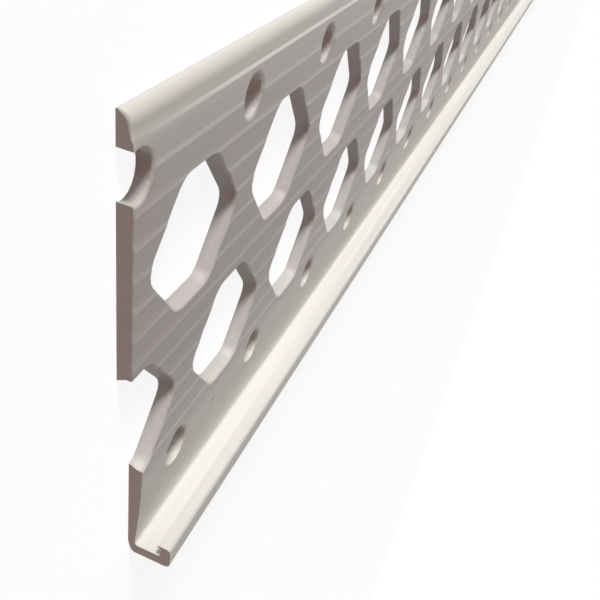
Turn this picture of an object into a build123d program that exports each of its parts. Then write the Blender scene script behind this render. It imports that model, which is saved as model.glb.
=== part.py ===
from build123d import *
import math
import os

# Extruded plaster stop bead, lying on the back of its wing.
# X runs along the length, Y goes up the wing from the stop to the rim, and Z is out of the front face.
# The origin is at the middle of the length and height, at the level of the wing's back. All sizes in mm.

# Overall sizes of the section
bead_length = 2500.0
total_height = 44.2
wing_wall = 1.3

# Rim along the top of the wing: a thinner edge with a rounded front corner and a steep step below it
rim_height = 1.75
rim_wall = 1.1
rim_face_lean = 0.08
rim_corner_radius = 0.75
rim_step_height = 0.25

# Stop along the bottom: a flange at right angles to the wing, and an upturned nose on its outer edge
stop_projection = 3.1
flange_wall = 1.15
nose_wall = 1.0
nose_height = 1.45
back_corner_chamfer_across = 0.6
back_corner_chamfer_up = 1.4
nose_corner_radius = 0.6
wing_thinning_at_stop = 0.35
thinning_height = 6.0
nose_lip_reach = 0.3
nose_lip_wall = 0.3

# Hexagonal plaster keys, in two rows that are staggered by half a pitch
hexagon_pitch = 16.45
hexagon_across_flats = 11.8
hexagon_flat_length = 5.0
hexagon_side_angle = 52.0
hexagon_corner_radius = 2.0
upper_hexagons_below_top = 12.69
lower_hexagons_below_top = 26.66

# Round fixing holes, one row beside the rim and one above the stop
upper_hole_radius = 1.7
upper_holes_below_top = 4.42
lower_hole_radius = 1.95
lower_holes_below_top = 35.2

# The rows don't start quite in step: small shifts along the length of both upper rows and of the lowest one
upper_rows_shift = 0.6
lower_holes_shift = -0.4

# The saw cut at the near end is stepped: the strip below the lower hexagons is shorter than the rest
near_end_step = 1.75

# Places that follow from the sizes
top_y = total_height / 2
bottom_y = -total_height / 2
near_end_x = -bead_length / 2
far_end_x = bead_length / 2
total_depth = wing_wall + stop_projection
flange_top_y = bottom_y + flange_wall
nose_top_y = flange_top_y + nose_height
nose_inner_z = total_depth - nose_wall
rim_foot_y = top_y - rim_height
step_foot_y = rim_foot_y - rim_step_height
cut_margin = 1.0


def section_sketch():
    """The extruded section in the YZ plane, without holes. The points are pairs of Y and Z."""
    rim_corner = min(rim_corner_radius, 0.95 * rim_wall, 0.95 * rim_height)
    nose_corner = min(nose_corner_radius, 0.95 * nose_wall)
    chamfer_across = min(back_corner_chamfer_across, 0.9 * wing_wall)
    lip_reach = min(nose_lip_reach, 0.5 * stop_projection)
    thinned_z = wing_wall - wing_thinning_at_stop
    points = [
        (bottom_y + back_corner_chamfer_up, 0),
        (top_y, 0),
        (top_y, rim_wall),
        (rim_foot_y, rim_wall + rim_face_lean),
        (step_foot_y, wing_wall),
        (flange_top_y + thinning_height, wing_wall),
        (flange_top_y, thinned_z),
        (flange_top_y, nose_inner_z),
        (nose_top_y - nose_lip_wall, nose_inner_z),
        (nose_top_y - nose_lip_wall, nose_inner_z - lip_reach),
        (nose_top_y, nose_inner_z - lip_reach),
        (nose_top_y, total_depth),
        (bottom_y, total_depth),
        (bottom_y, chamfer_across),
    ]
    with BuildSketch(Plane.YZ) as section:
        with BuildLine():
            Polyline(*points, close=True)
        make_face()
        rim_vertex = section.vertices().sort_by_distance((top_y, rim_wall, 0))[0]
        fillet(rim_vertex, rim_corner)
        nose_vertex = section.vertices().sort_by_distance((bottom_y, total_depth, 0))[0]
        fillet(nose_vertex, nose_corner)
    return section.sketch


def columns(first_x):
    """Places along the length of one row of holes, as far as the far end."""
    count = math.floor((far_end_x - first_x) / hexagon_pitch + 0.5) + 1
    return [first_x + index * hexagon_pitch for index in range(count)]


def hexagon_sketch():
    """One plaster key with rounded corners, its flats parallel to the length."""
    half_height = hexagon_across_flats / 2
    half_flat = hexagon_flat_length / 2
    half_width = half_flat + half_height / math.tan(math.radians(hexagon_side_angle))
    corners = [
        (half_flat, half_height),
        (-half_flat, half_height),
        (-half_width, 0),
        (-half_flat, -half_height),
        (half_flat, -half_height),
        (half_width, 0),
    ]
    with BuildSketch() as hexagon:
        Polygon(*corners, align=None)
        fillet(hexagon.vertices(), hexagon_corner_radius)
    return hexagon.sketch


def hole_tools():
    """Cutters for the four rows of holes, through the wing."""
    half_pitch = hexagon_pitch / 2
    upper_hexagons_y = top_y - upper_hexagons_below_top
    lower_hexagons_y = top_y - lower_hexagons_below_top
    upper_holes_y = top_y - upper_holes_below_top
    lower_holes_y = top_y - lower_holes_below_top
    depth = wing_wall + 2 * cut_margin
    start = Plane.XY.offset(-cut_margin)
    hexagon = extrude(start * hexagon_sketch(), depth)
    upper_hole = extrude(start * Circle(upper_hole_radius), depth)
    lower_hole = extrude(start * Circle(lower_hole_radius), depth)
    tools = []
    for x in columns(near_end_x + upper_rows_shift):
        tools.append(Pos(x, upper_holes_y) * upper_hole)
    for x in columns(near_end_x + upper_rows_shift + half_pitch):
        tools.append(Pos(x, upper_hexagons_y) * hexagon)
    for x in columns(near_end_x):
        tools.append(Pos(x, lower_hexagons_y) * hexagon)
    for x in columns(near_end_x + lower_holes_shift + half_pitch):
        tools.append(Pos(x, lower_holes_y) * lower_hole)
    return tools


def near_end_tool():
    """What the stepped saw cut takes off the strip below the first lower hexagon."""
    strip_top_y = top_y - lower_hexagons_below_top
    strip_height = strip_top_y - bottom_y
    cutter = Box(
        near_end_step + cut_margin,
        strip_height + cut_margin,
        total_depth + 2 * cut_margin,
        align=(Align.MAX, Align.MAX, Align.MIN),
    )
    return Pos(near_end_x + near_end_step, strip_top_y, -cut_margin) * cutter


def make_stop_bead():
    """The bead: its section run along the length, then punched and cut."""
    blank = extrude(Pos(near_end_x, 0, 0) * section_sketch(), bead_length, dir=(1, 0, 0))
    return blank - hole_tools() - near_end_tool()


stop_bead = make_stop_bead()
os.makedirs("parts", exist_ok=True)
export_step(stop_bead, "parts/stop_bead.step")
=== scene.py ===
import math

import bmesh
import bpy
from mathutils import Matrix, Vector


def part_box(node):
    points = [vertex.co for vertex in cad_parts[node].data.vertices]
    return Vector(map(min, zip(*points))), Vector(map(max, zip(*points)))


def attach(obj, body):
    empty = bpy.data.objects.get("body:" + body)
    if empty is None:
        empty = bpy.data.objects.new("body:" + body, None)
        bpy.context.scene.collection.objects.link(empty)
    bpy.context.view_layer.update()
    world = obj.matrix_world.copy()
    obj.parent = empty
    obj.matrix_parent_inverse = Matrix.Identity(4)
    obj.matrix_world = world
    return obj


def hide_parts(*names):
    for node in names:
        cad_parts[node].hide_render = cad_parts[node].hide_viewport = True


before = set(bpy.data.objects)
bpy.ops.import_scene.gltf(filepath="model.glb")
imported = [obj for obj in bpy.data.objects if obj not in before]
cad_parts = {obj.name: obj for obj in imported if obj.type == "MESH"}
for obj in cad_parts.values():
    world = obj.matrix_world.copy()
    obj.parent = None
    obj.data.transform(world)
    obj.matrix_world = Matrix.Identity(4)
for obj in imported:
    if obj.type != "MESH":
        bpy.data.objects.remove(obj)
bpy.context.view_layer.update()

# Stop bead: one strip of white rigid PVC, pushed through a die and then punched with four rows of holes.
# The die gives it the rim, the stop with its upturned nose, and fine ribs that help the plaster to grip.
# It is nailed or bedded on its flat back, and plaster keys through the hexagons. Sizes are in millimetres.
MM = 0.001
bead_low, bead_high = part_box("stop_bead")
near_end_x = bead_low.x / MM
far_end_x = bead_high.x / MM
top_y = bead_high.y / MM
bottom_y = bead_low.y / MM
total_depth = bead_high.z / MM

wing_wall = 1.3
rim_wall = 1.1
rim_corner_reach = (1.05, 0.82)
rim_corner_start_degrees = 8
rim_corner_steps = 7
rim_face_lean = 0.06
rim_height = 1.74
rim_step_height = 0.24
flange_wall = 1.15
nose_wall = 1.0
nose_height = 1.45
nose_corner_radius = 0.6
nose_top_radius = 0.42
nose_lip_reach = 0.3
nose_lip_wall = 0.28
back_corner_across = 0.6
back_corner_up = 1.4
back_corner_middle = (0.4, 0.25)
inner_fillet_radius = 0.35
edge_radius = 0.15
edge_steps = 2
fillet_steps = 3
nose_steps = 4
wing_thinning_at_stop = 0.6
thinning_height = 9.6
thinning_steps = 8
thinning_power = 1.5

rib_height = 0.06
rib_flank = 0.34
rib_crest = 0.06
rib_tail = 1.6
first_rib_below_top = 4.19
upper_rib_count = 7
upper_rib_pitch = 2.57
lower_rib_count = 5
lower_rib_pitch = 2.435

hexagon_pitch = 16.45
hexagon_across_flats = 11.8
hexagon_flat_length = 5.0
hexagon_side_angle = math.radians(52)
hexagon_corner_radius = 2.0
hexagon_mouth = 0.08
hexagon_mouth_depth = 0.08
hexagon_burr = 0.4
hexagon_burr_share = 0.6
upper_columns_shift = 0.6
upper_hexagons_y = top_y - 12.69
lower_hexagons_y = top_y - 26.66
upper_hole_size = (1.55, 1.8)
upper_holes_y = top_y - 4.42
lower_hole_size = (1.8, 2.05)
lower_holes_shift = -0.4
lower_holes_y = top_y - 35.2
hole_mouth = 0.3
hole_mouth_depth = 0.2
hole_taper = 0.22
first_hole_size = (1.6, 2.0)
first_hole_rise = 0.1
near_end_step = 1.75

end_wear = 0.12
rim_end_wear = 0.3
rim_wear_below_top = 2
rim_wear_run = 1.2
wear_fade_depth = 0.4
worn_turns = (0, 30, 60, 90)
corner_steps = 4
round_hole_steps = 20
margin = 0.6
same_place = 0.0001
sawn_face_reach = 0.001
weld_distance = 0.004
smooth_limit = math.radians(38)
rib_edge_limit = math.radians(3)
edge_below_rim_corner = 0.1


def arc(centre, radius, start, end, steps):
    """Points along an arc, with angles in degrees from +Y towards +Z."""
    angles = [math.radians(start + (end - start) * step / steps) for step in range(steps + 1)]
    return [(centre[0] + radius * math.cos(a), centre[1] + radius * math.sin(a)) for a in angles]


def rib_points(crest_y):
    """One rib of the wing's front: a short flank that faces the rim, a crest, and a long flat tail."""
    crest_z = wing_wall + rib_height
    return [
        (crest_y + rib_flank / 2, wing_wall),
        (crest_y - rib_flank / 2, crest_z),
        (crest_y - rib_flank / 2 - rib_crest, crest_z),
        (crest_y - rib_flank / 2 - rib_tail, wing_wall),
    ]


def section_outline():
    """The section in Y and Z, once round from the back's lower end, up the back and down the front."""
    rim_foot_y = top_y - rim_height
    flange_top_y = bottom_y + flange_wall
    nose_top_y = flange_top_y + nose_height
    nose_inner_z = total_depth - nose_wall
    thinned_z = wing_wall - wing_thinning_at_stop
    lip_z = nose_inner_z - nose_lip_reach
    outline = [(bottom_y + back_corner_up, 0)]
    outline += arc((top_y - edge_radius, edge_radius), edge_radius, -90, 0, edge_steps)
    for y, z in arc((0, 0), 1, rim_corner_start_degrees, 90, rim_corner_steps):
        rim_y = top_y - rim_corner_reach[0] * (1 - y)
        outline.append((rim_y, rim_wall - rim_corner_reach[1] * (1 - z)))
    outline += [(rim_foot_y, rim_wall + rim_face_lean), (rim_foot_y - rim_step_height, wing_wall)]
    rib_y = top_y - first_rib_below_top
    for index in range(upper_rib_count + lower_rib_count):
        outline += rib_points(rib_y)
        rib_y -= upper_rib_pitch if index < upper_rib_count - 1 else lower_rib_pitch
    thinning_run = thinning_height - inner_fillet_radius
    for step in range(thinning_steps):
        part = step / thinning_steps
        thinned_y = flange_top_y + thinning_height - part * thinning_run
        outline.append((thinned_y, wing_wall - wing_thinning_at_stop * part ** thinning_power))
    inner_centre = (flange_top_y + inner_fillet_radius, thinned_z + inner_fillet_radius)
    outline += arc(inner_centre, inner_fillet_radius, 270, 180, fillet_steps)
    groove_centre = (flange_top_y + inner_fillet_radius, nose_inner_z - inner_fillet_radius)
    outline += arc(groove_centre, inner_fillet_radius, 180, 90, fillet_steps)
    outline += [(nose_top_y - nose_lip_wall, nose_inner_z), (nose_top_y - nose_lip_wall, lip_z)]
    outline.append((nose_top_y, lip_z))
    nose_top_centre = (nose_top_y - nose_top_radius, total_depth - nose_top_radius)
    outline += arc(nose_top_centre, nose_top_radius, 0, 90, nose_steps)
    nose_centre = (bottom_y + nose_corner_radius, total_depth - nose_corner_radius)
    outline += arc(nose_centre, nose_corner_radius, 90, 180, nose_steps)
    outline += [(bottom_y, back_corner_across), (bottom_y + back_corner_middle[0], back_corner_middle[1])]
    return outline


def worn_end(outline, turn):
    """One ring of the near end's worn edge: the outline drawn in, and less so the further it has turned.
    The wear is strongest at the rim, and fades out towards the back.
    """
    ring = []
    for index, (y, z) in enumerate(outline):
        before, after = outline[index - 1], outline[(index + 1) % len(outline)]
        away = Vector((before[1] - after[1], after[0] - before[0])).normalized()
        at_rim = min(max((y - top_y + rim_wear_below_top) / rim_wear_run, 0), 1)
        wear = end_wear + (rim_end_wear - end_wear) * at_rim
        wear *= min(z / wear_fade_depth, 1)
        inset = wear * (1 - math.sin(turn))
        ring.append((wear * (1 - math.cos(turn)), y + away.x * inset, z + away.y * inset))
    return ring


def hexagon_outline(offset):
    """A plaster key's outline with its corners rounded, made larger all round by the offset."""
    half_height = hexagon_across_flats / 2
    half_flat = hexagon_flat_length / 2
    half_width = half_flat + half_height / math.tan(hexagon_side_angle)
    corners = [
        Vector((half_flat, half_height)),
        Vector((-half_flat, half_height)),
        Vector((-half_width, 0)),
        Vector((-half_flat, -half_height)),
        Vector((half_flat, -half_height)),
        Vector((half_width, 0)),
    ]
    points = []
    for index, corner in enumerate(corners):
        before = (corners[index - 1] - corner).normalized()
        after = (corners[(index + 1) % 6] - corner).normalized()
        half_angle = before.angle(after) / 2
        middle = (before + after).normalized()
        centre = corner + middle * hexagon_corner_radius / math.sin(half_angle)
        turn = math.pi / 2 - half_angle
        outward = math.atan2(-middle.y, -middle.x)
        for step in range(corner_steps + 1):
            angle = outward + turn * (2 * step / corner_steps - 1)
            reach = hexagon_corner_radius + offset
            points.append((centre.x + reach * math.cos(angle), centre.y + reach * math.sin(angle)))
    return points


def round_outline(size, offset):
    """A fixing hole's slightly oval outline, made larger all round by the offset."""
    angles = [2 * math.pi * (step + 0.5) / round_hole_steps for step in range(round_hole_steps)]
    return [((size[0] + offset) * math.cos(a), (size[1] + offset) * math.sin(a)) for a in angles]


def loft(name, rings):
    """A closed solid through rings of points, each ring with the same count."""
    shape = bmesh.new()
    loops = [[shape.verts.new(point) for point in ring] for ring in rings]
    count = len(rings[0])
    for lower, upper in zip(loops, loops[1:]):
        for index in range(count):
            after = (index + 1) % count
            shape.faces.new((lower[index], lower[after], upper[after], upper[index]))
    shape.faces.new(loops[0])
    shape.faces.new(loops[-1])
    bmesh.ops.recalc_face_normals(shape, faces=shape.faces)
    mesh = bpy.data.meshes.new(name)
    shape.to_mesh(mesh)
    shape.free()
    piece = bpy.data.objects.new(name, mesh)
    bpy.context.scene.collection.objects.link(piece)
    return piece


def hexagon_punch(x, y):
    """A cutter for one plaster key: tighter at the back, where the burr is, and eased in front."""
    levels = [
        (-margin, -hexagon_burr),
        (0, -hexagon_burr),
        (hexagon_burr_share * wing_wall, 0),
        (wing_wall - hexagon_mouth_depth, 0),
        (wing_wall + margin, hexagon_mouth * (1 + margin / hexagon_mouth_depth)),
    ]
    rings = [[(x + px, y + py, z) for px, py in hexagon_outline(offset)] for z, offset in levels]
    return loft("hexagon_punch", rings)


def hole_punch(x, y, size):
    """A cutter for one fixing hole: it tapers towards the back, and its mouth is a shallow dish."""
    levels = [
        (-margin, -hole_taper),
        (0, -hole_taper),
        (wing_wall - hole_mouth_depth, 0),
        (wing_wall + margin, hole_mouth * (1 + margin / hole_mouth_depth)),
    ]
    rings = [[(x + px, y + py, z) for px, py in round_outline(size, offset)] for z, offset in levels]
    return loft("hole_punch", rings)


def stretch(name, length, cutters, worn=False):
    """A short length of the bead with the cutters taken out, as a mesh object in millimetres."""
    outline = section_outline()
    if worn:
        rings = [worn_end(outline, math.radians(turn)) for turn in worn_turns]
    else:
        rings = [[(0, y, z) for y, z in outline]]
    blank = loft(name, rings + [[(length, y, z) for y, z in outline]])
    for cutter in cutters:
        cut = blank.modifiers.new("punch", "BOOLEAN")
        cut.operation = "DIFFERENCE"
        cut.solver = "EXACT"
        cut.object = cutter
    graph = bpy.context.evaluated_depsgraph_get()
    mesh = bpy.data.meshes.new_from_object(blank.evaluated_get(graph))
    blank.modifiers.clear()
    blank.data = mesh
    return blank


def open_end(piece, x):
    """Takes off the faces of one end, so that the next stretch joins on."""
    shape = bmesh.new()
    shape.from_mesh(piece.data)
    ends = [face for face in shape.faces if all(abs(v.co.x - x) < same_place for v in face.verts)]
    bmesh.ops.delete(shape, geom=ends, context="FACES")
    shape.to_mesh(piece.data)
    shape.free()


cutters = []
for column in range(-1, 2):
    x = column * hexagon_pitch
    cutters.append(hexagon_punch(x + upper_columns_shift + hexagon_pitch / 2, upper_hexagons_y))
    cutters.append(hole_punch(x + upper_columns_shift + hexagon_pitch, upper_holes_y, upper_hole_size))
    cutters.append(hexagon_punch(x + hexagon_pitch, lower_hexagons_y))
    cutters.append(hole_punch(x + lower_holes_shift + hexagon_pitch / 2, lower_holes_y, lower_hole_size))

first_hole_y = upper_holes_y + first_hole_rise
first_hole = loft(
    "first_hole_cutter",
    [
        [(upper_columns_shift + x, first_hole_y + y, z) for x, y in round_outline(first_hole_size, 0)]
        for z in (-margin, wing_wall + margin)
    ],
)
step_section = [
    (bottom_y - margin, -margin),
    (lower_hexagons_y, -margin),
    (lower_hexagons_y, total_depth + margin),
    (bottom_y - margin, total_depth + margin),
]
step_rings = [[(x, y, z) for y, z in step_section] for x in (-margin, near_end_step)]
step_cutter = loft("end_step_cutter", step_rings)

cell_count = int((far_end_x - near_end_x) // hexagon_pitch) + 1
last_length = far_end_x - near_end_x - (cell_count - 1) * hexagon_pitch
near_stretch = stretch("near_stretch", hexagon_pitch, cutters + [first_hole, step_cutter], worn=True)
open_end(near_stretch, hexagon_pitch)
repeat_stretch = stretch("repeat_stretch", hexagon_pitch, cutters)
open_end(repeat_stretch, 0)
open_end(repeat_stretch, hexagon_pitch)
far_stretch = stretch("far_stretch", last_length, cutters)
open_end(far_stretch, 0)


grain_length = 40
grain_width = 0.5
grain_depth = 0.01
speckle_size = 0.25
mark_depth = 2


def linear(hex_colour):
    """An sRGB hex colour as a linear colour with alpha."""
    channels = [int(hex_colour[start:start + 2], 16) / 255 for start in (1, 3, 5)]
    return [c / 12.92 if c <= 0.04045 else ((c + 0.055) / 1.055) ** 2.4 for c in channels] + [1]


def add_node(tree, kind, settings=None, links=None):
    """Adds a node, sets its properties and input values, and links its inputs."""
    node = tree.nodes.new(kind)
    for name, value in (settings or {}).items():
        if isinstance(name, str) and hasattr(node, name):
            setattr(node, name, value)
        else:
            node.inputs[name].default_value = value
    for name, source in (links or {}).items():
        tree.links.new(source, node.inputs[name])
    return node


def spot(tree, place, centre, reach, turn):
    """A mask that is 1 in the middle of one small oval mark and 0 outside it. Sizes in millimetres."""
    at = add_node(
        tree,
        "ShaderNodeMapping",
        {
            "vector_type": "TEXTURE",
            "Location": [c * MM for c in centre],
            "Rotation": (0, 0, math.radians(turn)),
        },
        {"Vector": place.outputs["Object"]},
    )
    scaled = add_node(
        tree,
        "ShaderNodeVectorMath",
        {"operation": "DIVIDE", 1: (reach[0] * MM, reach[1] * MM, mark_depth * MM)},
        {0: at.outputs[0]},
    )
    away = add_node(tree, "ShaderNodeVectorMath", {"operation": "LENGTH"}, {0: scaled.outputs[0]})
    mask = add_node(
        tree,
        "ShaderNodeMapRange",
        {"From Min": 1.0, "From Max": 0.4, "To Min": 0.0, "To Max": 1.0},
        {"Value": away.outputs["Value"]},
    )
    return mask.outputs["Result"]


def blend(tree, mask, first, second, blend_type="MIX"):
    """The colour socket that goes from the first colour to the second by the mask."""
    node = tree.nodes.new("ShaderNodeMix")
    node.data_type = "RGBA"
    node.blend_type = blend_type
    colours = [socket for socket in node.inputs if socket.type == "RGBA"]
    for socket, colour in zip(colours, (first, second)):
        if isinstance(colour, list):
            socket.default_value = colour
        else:
            tree.links.new(colour, socket)
    if isinstance(mask, (int, float)):
        node.inputs["Factor"].default_value = mask
    else:
        tree.links.new(mask, node.inputs["Factor"])
    return [socket for socket in node.outputs if socket.type == "RGBA"][0]


def rigid_pvc():
    """Extruded rigid PVC: opaque warm white with a satin sheen and faint grain drawn along the length.
    The base colour is darker across the middle of the height as painted shade, and lighter towards the rim
    and the stop as painted light. Faces turned to the near end are browner and darker, partly the sawn cut
    and partly painted shade; the sawn end is rougher, and there are two small dirt marks by the stop.
    """
    material = bpy.data.materials.new("extruded_rigid_pvc")
    material.use_nodes = True
    tree = material.node_tree
    tree.nodes.clear()
    place = add_node(tree, "ShaderNodeTexCoord")
    across = add_node(tree, "ShaderNodeSeparateXYZ", {}, {0: place.outputs["Object"]})
    height = add_node(
        tree,
        "ShaderNodeMapRange",
        {"From Min": bottom_y * MM, "From Max": top_y * MM},
        {"Value": across.outputs["Y"]},
    )
    # Painted shade and painted light: the base colour is darkest across the middle of the height and lighter
    # towards the rim and the stop.
    painted_shade_by_height = add_node(tree, "ShaderNodeValToRGB", {}, {"Fac": height.outputs["Result"]})
    stops = (
        (0.0, "#F4F3EF"),
        (0.22, "#F4F3EF"),
        (0.28, "#E0DBD9"),
        (0.5, "#D0CAC9"),
        (0.85, "#E0DBD9"),
        (0.95, "#F6F3EF"),
    )
    while len(painted_shade_by_height.color_ramp.elements) < len(stops):
        painted_shade_by_height.color_ramp.elements.new(0.5)
    for element, (position, colour) in zip(painted_shade_by_height.color_ramp.elements, stops):
        element.position = position
        element.color = linear(colour)
    grain_space = add_node(
        tree,
        "ShaderNodeMapping",
        {"Scale": (1 / (grain_length * MM), 1 / (grain_width * MM), 1 / (grain_width * MM))},
        {"Vector": place.outputs["Object"]},
    )
    grain = add_node(
        tree, "ShaderNodeTexNoise", {"Scale": 1, "Detail": 3}, {"Vector": grain_space.outputs[0]}
    )
    streaks = add_node(tree, "ShaderNodeValToRGB", {}, {"Fac": grain.outputs["Fac"]})
    streaks.color_ramp.elements[0].position = 0.3
    streaks.color_ramp.elements[0].color = linear("#F6F5F4")
    streaks.color_ramp.elements[1].position = 0.7
    streaks.color_ramp.elements[1].color = linear("#FFFFFF")
    grain_and_painted_shade = blend(tree, 1.0, painted_shade_by_height.outputs["Color"], streaks.outputs["Color"], "MULTIPLY")
    facing = add_node(tree, "ShaderNodeSeparateXYZ", {}, {0: place.outputs["Normal"]})
    sawn = add_node(
        tree,
        "ShaderNodeMapRange",
        {"From Min": -0.86, "From Max": -0.97},
        {"Value": facing.outputs["X"]},
    )
    # Faces turned to the near end, the sawn end most, get a browner, darker colour: partly the sawn cut,
    # partly painted shade.
    ends = blend(tree, sawn.outputs["Result"], grain_and_painted_shade, linear("#D8C4BE"))
    speckle = add_node(
        tree,
        "ShaderNodeTexNoise",
        {"Scale": 1 / (speckle_size * MM), "Detail": 2},
        {"Vector": place.outputs["Object"]},
    )
    patchy = add_node(
        tree,
        "ShaderNodeMapRange",
        {"From Min": 0.4, "From Max": 0.6},
        {"Value": speckle.outputs["Fac"]},
    )
    smear = spot(tree, place, (near_end_x + 15.0, top_y - 35.45, wing_wall), (0.7, 0.32), 40)
    fleck = spot(tree, place, (near_end_x + 8.5, top_y - 35.1, wing_wall), (0.4, 0.3), 0)
    both = add_node(tree, "ShaderNodeMath", {"operation": "MAXIMUM"}, {0: smear, 1: fleck})
    dirt = add_node(
        tree, "ShaderNodeMath", {"operation": "MULTIPLY"}, {0: both.outputs[0], 1: patchy.outputs["Result"]}
    )
    dirt_and_painted_shade = blend(tree, dirt.outputs[0], ends, linear("#A89C90"))
    bump = add_node(
        tree,
        "ShaderNodeBump",
        {"Strength": 0.5, "Distance": grain_depth * MM},
        {"Height": grain.outputs["Fac"]},
    )
    drawn_roughness = add_node(
        tree,
        "ShaderNodeMapRange",
        {"From Min": 0.3, "From Max": 0.7, "To Min": 0.45, "To Max": 0.55},
        {"Value": grain.outputs["Fac"]},
    )
    roughness = add_node(
        tree,
        "ShaderNodeMapRange",
        {"To Max": 0.7},
        {"Value": sawn.outputs["Result"], "To Min": drawn_roughness.outputs["Result"]},
    )
    shader = add_node(
        tree,
        "ShaderNodeBsdfPrincipled",
        {"IOR": 1.53},
        {
            "Base Color": dirt_and_painted_shade,
            "Roughness": roughness.outputs["Result"],
            "Normal": bump.outputs["Normal"],
        },
    )
    add_node(tree, "ShaderNodeOutputMaterial", {}, {"Surface": shader.outputs["BSDF"]})
    return material


def crisp_edges(mesh, low_y, high_y):
    """Marks the edges of the ribs, of the rim's step and of the sawn end as sharp. The heights are in mm."""
    shape = bmesh.new()
    shape.from_mesh(mesh)
    for edge in shape.edges:
        if all(vert.co.x < (near_end_x + sawn_face_reach) * MM for vert in edge.verts):
            edge.smooth = False
        run = edge.verts[1].co - edge.verts[0].co
        lengthwise = abs(run.x) > 0.99 * run.length
        inside = low_y * MM < edge.verts[0].co.y < high_y * MM
        if lengthwise and inside and edge.is_manifold and edge.calc_face_angle() > rib_edge_limit:
            edge.smooth = False
    shape.to_mesh(mesh)
    shape.free()


def run_along_length():
    """The tree that repeats one punched stretch along the bead and closes it with its two ends."""
    tree = bpy.data.node_groups.new("run_of_stretches", "GeometryNodeTree")
    panel = tree.interface
    panel.new_socket("Geometry", in_out="INPUT", socket_type="NodeSocketGeometry")
    panel.new_socket("Repeated stretch", in_out="INPUT", socket_type="NodeSocketObject")
    panel.new_socket("Near end", in_out="INPUT", socket_type="NodeSocketObject")
    panel.new_socket("Far end", in_out="INPUT", socket_type="NodeSocketObject")
    panel.new_socket("Repeats", in_out="INPUT", socket_type="NodeSocketInt")
    panel.new_socket("Pitch", in_out="INPUT", socket_type="NodeSocketFloat")
    panel.new_socket("Near end X", in_out="INPUT", socket_type="NodeSocketFloat")
    panel.new_socket("Material", in_out="INPUT", socket_type="NodeSocketMaterial")
    panel.new_socket("Geometry", in_out="OUTPUT", socket_type="NodeSocketGeometry")
    given = add_node(tree, "NodeGroupInput").outputs
    first_x = add_node(
        tree, "ShaderNodeMath", {"operation": "ADD"}, {0: given["Near end X"], 1: given["Pitch"]}
    )
    first_place = add_node(tree, "ShaderNodeCombineXYZ", {}, {"X": first_x.outputs[0]})
    pitch = add_node(tree, "ShaderNodeCombineXYZ", {}, {"X": given["Pitch"]})
    places = add_node(
        tree,
        "GeometryNodeMeshLine",
        {"mode": "OFFSET"},
        {
            "Count": given["Repeats"],
            "Start Location": first_place.outputs[0],
            "Offset": pitch.outputs[0],
        },
    )
    repeated = add_node(tree, "GeometryNodeObjectInfo", {}, {"Object": given["Repeated stretch"]})
    run = add_node(
        tree,
        "GeometryNodeInstanceOnPoints",
        {},
        {"Points": places.outputs["Mesh"], "Instance": repeated.outputs["Geometry"]},
    )
    near_place = add_node(tree, "ShaderNodeCombineXYZ", {}, {"X": given["Near end X"]})
    near_piece = add_node(tree, "GeometryNodeObjectInfo", {}, {"Object": given["Near end"]})
    near = add_node(
        tree,
        "GeometryNodeTransform",
        {},
        {"Geometry": near_piece.outputs["Geometry"], "Translation": near_place.outputs[0]},
    )
    run_length = add_node(
        tree, "ShaderNodeMath", {"operation": "MULTIPLY"}, {0: given["Repeats"], 1: given["Pitch"]}
    )
    far_x = add_node(
        tree, "ShaderNodeMath", {"operation": "ADD"}, {0: first_x.outputs[0], 1: run_length.outputs[0]}
    )
    far_place = add_node(tree, "ShaderNodeCombineXYZ", {}, {"X": far_x.outputs[0]})
    far_piece = add_node(tree, "GeometryNodeObjectInfo", {}, {"Object": given["Far end"]})
    far = add_node(
        tree,
        "GeometryNodeTransform",
        {},
        {"Geometry": far_piece.outputs["Geometry"], "Translation": far_place.outputs[0]},
    )
    joined = add_node(tree, "GeometryNodeJoinGeometry")
    for part in (near.outputs[0], run.outputs[0], far.outputs[0]):
        tree.links.new(part, joined.inputs[0])
    real = add_node(tree, "GeometryNodeRealizeInstances", {}, {"Geometry": joined.outputs[0]})
    merged = add_node(
        tree,
        "GeometryNodeMergeByDistance",
        {"Distance": weld_distance},
        {"Geometry": real.outputs[0]},
    )
    finished = add_node(
        tree,
        "GeometryNodeSetMaterial",
        {},
        {"Geometry": merged.outputs[0], "Material": given["Material"]},
    )
    add_node(tree, "NodeGroupOutput", {}, {"Geometry": finished.outputs[0]})
    return tree


carrier = bpy.data.objects.new("carrier", bpy.data.meshes.new("carrier"))
bpy.context.scene.collection.objects.link(carrier)
builder = carrier.modifiers.new("run", "NODES")
builder.node_group = run_along_length()
settings = {
    "Repeated stretch": repeat_stretch,
    "Near end": near_stretch,
    "Far end": far_stretch,
    "Repeats": cell_count - 2,
    "Pitch": hexagon_pitch,
    "Near end X": near_end_x,
    "Material": rigid_pvc(),
}
for item in builder.node_group.interface.items_tree:
    if item.in_out == "INPUT" and item.name in settings:
        builder[item.identifier] = settings[item.name]
graph = bpy.context.evaluated_depsgraph_get()
bead_mesh = bpy.data.meshes.new_from_object(carrier.evaluated_get(graph))
bead_mesh.name = "bead_mesh"
bead_mesh.transform(Matrix.Scale(MM, 4))
bead_mesh.shade_smooth()
bead_mesh.set_sharp_from_angle(angle=smooth_limit)
thinning_top_y = bottom_y + flange_wall + thinning_height
crisp_edges(bead_mesh, thinning_top_y, top_y - rim_corner_reach[0] - edge_below_rim_corner)
carrier.modifiers.clear()
carrier.data = bead_mesh
flats_first = carrier.modifiers.new("flats_first", "WEIGHTED_NORMAL")
flats_first.keep_sharp = True
flats_first.weight = 100
graph = bpy.context.evaluated_depsgraph_get()
bead_mesh = bpy.data.meshes.new_from_object(carrier.evaluated_get(graph))
bead_mesh.name = "bead_mesh"
for helper in cutters + [first_hole, step_cutter, near_stretch, repeat_stretch, far_stretch, carrier]:
    bpy.data.objects.remove(helper)
bead = bpy.data.objects.new("stop_bead_strip", bead_mesh)
bpy.context.scene.collection.objects.link(bead)
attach(bead, "root")
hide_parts("stop_bead")

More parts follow.
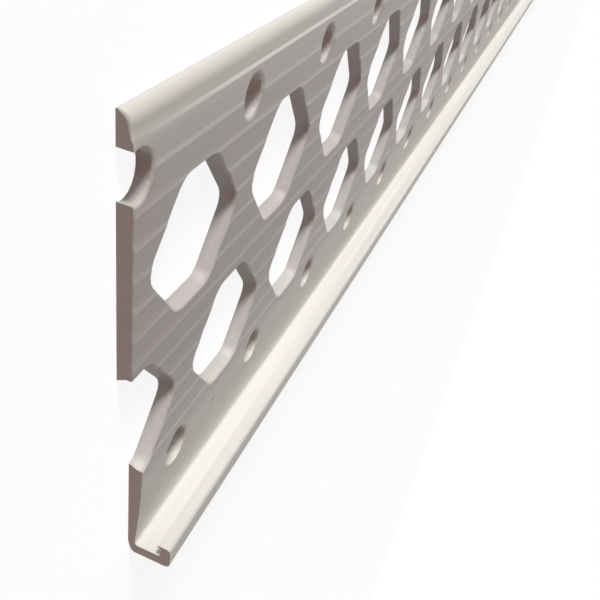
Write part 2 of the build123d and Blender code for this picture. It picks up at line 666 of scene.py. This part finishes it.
# Floor: a plain pale sheet under the bead's back. To the camera it is white where nothing shades it,
# and the bead's soft shadow shows on it.
floor_half_side = 12.0
floor_shape = bmesh.new()
bmesh.ops.create_grid(floor_shape, x_segments=1, y_segments=1, size=floor_half_side)
floor_mesh = bpy.data.meshes.new("floor")
floor_shape.to_mesh(floor_mesh)
floor_shape.free()
floor_material = bpy.data.materials.new("pale_floor")
floor_material.use_nodes = True
floor_tree = floor_material.node_tree
floor_tree.nodes.clear()


def seen_or_mirrored(tree, strength):
    """A value that is the strength for rays that show the background, and 0 for rays that light things."""
    rays = add_node(tree, "ShaderNodeLightPath")
    kinds = ("Is Camera Ray", "Is Glossy Ray", "Is Transmission Ray")
    total = rays.outputs[kinds[0]]
    for kind in kinds[1:]:
        largest = add_node(
            tree, "ShaderNodeMath", {"operation": "MAXIMUM"}, {0: total, 1: rays.outputs[kind]}
        )
        total = largest.outputs[0]
    return add_node(tree, "ShaderNodeMath", {"operation": "MULTIPLY", 1: strength}, {0: total}).outputs[0]


floor_glow_level = 0.84
floor_seen = seen_or_mirrored(floor_tree, floor_glow_level)
floor_matt = add_node(floor_tree, "ShaderNodeBsdfDiffuse", {"Color": linear("#B0B0B0")})
floor_glow = add_node(
    floor_tree, "ShaderNodeEmission", {"Color": (1, 1, 1, 1)}, {"Strength": floor_seen}
)
floor_sum = add_node(
    floor_tree, "ShaderNodeAddShader", {}, {0: floor_matt.outputs[0], 1: floor_glow.outputs[0]}
)
add_node(floor_tree, "ShaderNodeOutputMaterial", {}, {"Surface": floor_sum.outputs[0]})
floor_mesh.materials.append(floor_material)
floor = bpy.data.objects.new("floor", floor_mesh)
bpy.context.scene.collection.objects.link(floor)

# Light: one soft key from the rim's side, low over the wing's face, and a weak warm fill from the sky.
# Camera, glossy and transmission rays see the sky as plain white.
fill_level = 0.2
world = bpy.data.worlds.new("studio")
bpy.context.scene.world = world
world.use_nodes = True
world_tree = world.node_tree
world_tree.nodes.clear()
fill = add_node(world_tree, "ShaderNodeBackground", {"Color": linear("#FFF0EB"), "Strength": fill_level})
seen = add_node(world_tree, "ShaderNodeBackground", {"Color": (1, 1, 1, 1), "Strength": 1.0})
sky = add_node(
    world_tree,
    "ShaderNodeMixShader",
    {},
    {0: seen_or_mirrored(world_tree, 1.0), 1: fill.outputs[0], 2: seen.outputs[0]},
)
add_node(world_tree, "ShaderNodeOutputWorld", {}, {"Surface": sky.outputs[0]})


def add_sun(name, towards, level, softness, colour):
    """A soft distant lamp. A white face square to it renders at the level, as a share of its own colour."""
    data = bpy.data.lights.new(name, "SUN")
    data.energy = level * math.pi
    data.angle = math.radians(softness)
    data.color = linear(colour)[:3]
    lamp = bpy.data.objects.new(name, data)
    lamp.rotation_mode = "QUATERNION"
    lamp.rotation_quaternion = Vector(towards).to_track_quat("Z", "Y")
    bpy.context.scene.collection.objects.link(lamp)


add_sun("key", (-0.12, 0.975, 0.19), 0.72, 12, "#FFFEFA")

# Camera: close to the near end, above the rim and out in front of the wing, looking along the bead.
# The wing's height stands nearly upright in the frame.
camera_place = Vector((near_end_x - 34.216, top_y + 17.783, wing_wall + 21.145))
camera_right = Vector((0.37211, 0.14265, 0.91716))
camera_up = Vector((0.51278, 0.79205, -0.33124))
focal_pixels = 746.46
frame_pixels = 600
camera_data = bpy.data.cameras.new("camera")
camera_data.sensor_width = 36
camera_data.lens = focal_pixels / frame_pixels * camera_data.sensor_width
camera_data.clip_start = 2 * MM
camera_data.clip_end = 100
camera = bpy.data.objects.new("camera", camera_data)
camera_turn = Matrix((camera_right, camera_up, camera_right.cross(camera_up))).transposed()
camera.matrix_world = Matrix.Translation(camera_place * MM) @ camera_turn.to_4x4()
bpy.context.scene.collection.objects.link(camera)
bpy.context.scene.camera = camera

bpy.context.scene.view_settings.view_transform = "Standard"
